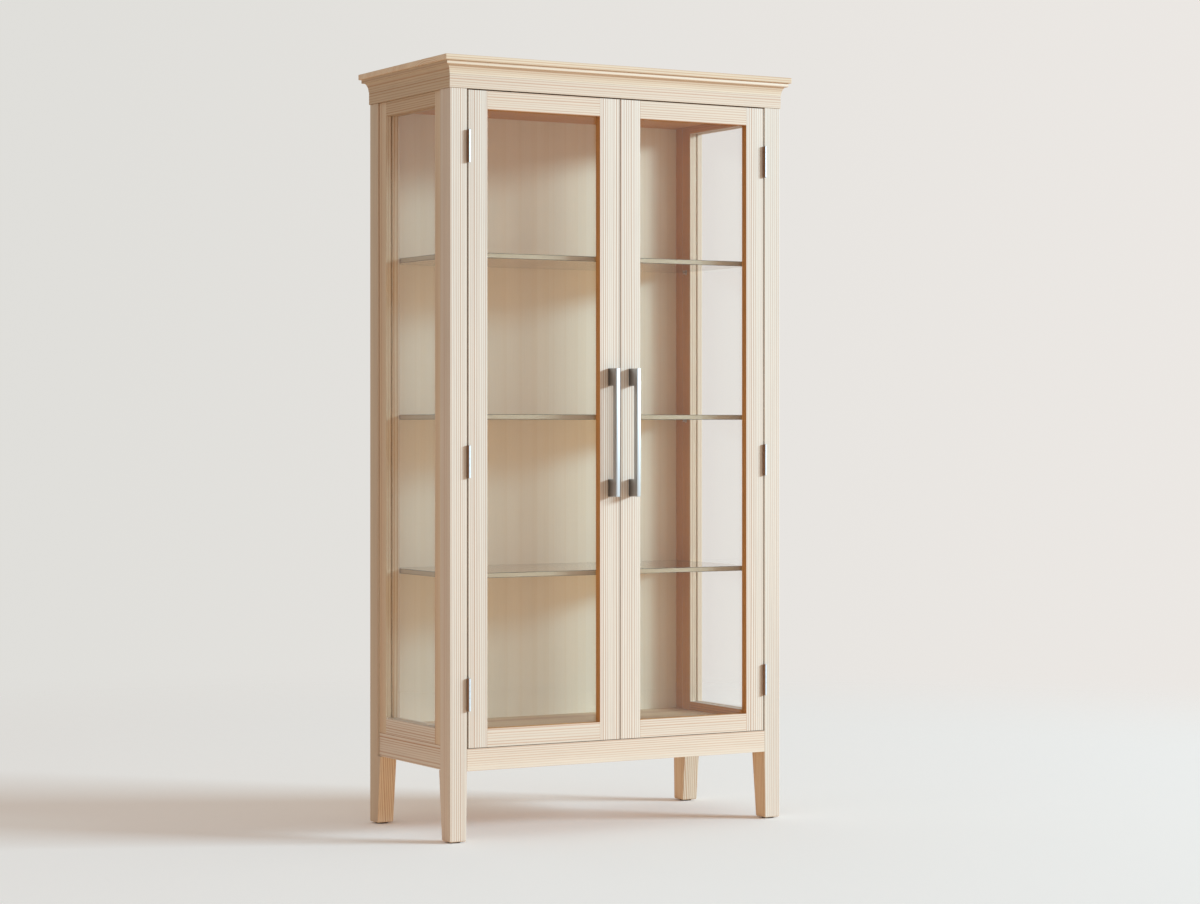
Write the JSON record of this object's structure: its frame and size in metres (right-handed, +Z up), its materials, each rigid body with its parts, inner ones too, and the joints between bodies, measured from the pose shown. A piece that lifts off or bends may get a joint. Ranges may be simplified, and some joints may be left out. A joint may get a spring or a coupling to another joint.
{
  "type": "display cabinet",
  "caption": "Tall free-standing display cabinet with framed glass doors on butt hinges, glazed sides, glass shelves, bar handles, tapered legs and a stepped crown.",
  "frame": {"origin": "on the floor, at the middle of the plan of the closed cabinet's overall box, crown and handles included", "axes": "+X to the viewer's right as seen from the front, +Y towards the back, +Z up; the doors face -Y"},
  "size_m": [0.968, 0.498, 1.85],
  "materials": {
    "wood": "pale straight-grained softwood, satin varnish",
    "back_board": "pale veneered board, satin varnish",
    "pane_glass": "clear float glass",
    "shelf_glass": "clear float glass, polished edges",
    "handle_steel": "fine satin",
    "hinge_steel": "plain satin",
    "felt": "dark pressed felt"
  },
  "bodies": {
    "carcass": {"front_left_post": "wood", "front_right_post": "wood", "rear_left_post": "wood", "rear_right_post": "wood", "foot_glides": "felt", "front_apron": "wood", "rear_apron": "wood", "left_apron": "wood", "right_apron": "wood", "left_side_front_stile": "wood", "left_side_rear_stile": "wood", "left_side_top_rail": "wood", "left_side_bottom_rail": "wood", "left_side_glass": "pane_glass", "right_side_front_stile": "wood", "right_side_rear_stile": "wood", "right_side_top_rail": "wood", "right_side_bottom_rail": "wood", "right_side_glass": "pane_glass", "floor_panel": "wood", "ceiling_panel": "wood", "back_panel": "back_board", "front_frieze": "wood", "front_crown_moulding": "wood", "rear_frieze": "wood", "rear_crown_moulding": "wood", "left_frieze": "wood", "left_crown_moulding": "wood", "right_frieze": "wood", "right_crown_moulding": "wood", "top_board": "wood", "lower_shelf": "shelf_glass", "middle_shelf": "shelf_glass", "upper_shelf": "shelf_glass", "shelf_pins": "hinge_steel", "frame_hinge_leaves": "hinge_steel", "hinge_pins": "hinge_steel", "frame_hinge_screws": "hinge_steel"},
    "left_door": {"left_door_hinge_stile": "wood", "left_door_meeting_stile": "wood", "left_door_top_rail": "wood", "left_door_bottom_rail": "wood", "left_door_beads": "wood", "left_door_glass": "pane_glass", "left_handle": "handle_steel", "left_handle_bolts": "hinge_steel", "left_door_hinge_leaves": "hinge_steel", "left_door_hinge_screws": "hinge_steel", "left_ball_catch": "hinge_steel"},
    "right_door": {"right_door_hinge_stile": "wood", "right_door_meeting_stile": "wood", "right_door_top_rail": "wood", "right_door_bottom_rail": "wood", "right_door_beads": "wood", "right_door_glass": "pane_glass", "right_handle": "handle_steel", "right_handle_bolts": "hinge_steel", "right_door_hinge_leaves": "hinge_steel", "right_door_hinge_screws": "hinge_steel", "right_ball_catch": "hinge_steel"}
  },
  "joints": [
    {"name": "left_door_hinge", "type": "hinge", "parent": "carcass", "child": "left_door", "pos_m": [-0.415, -0.2137, 0.896], "axis": [0, 0, -1], "range_deg": [0, 170]},
    {"name": "right_door_hinge", "type": "hinge", "parent": "carcass", "child": "right_door", "pos_m": [0.415, -0.2137, 0.896], "axis": [0, 0, 1], "range_deg": [0, 170]}
  ]
}
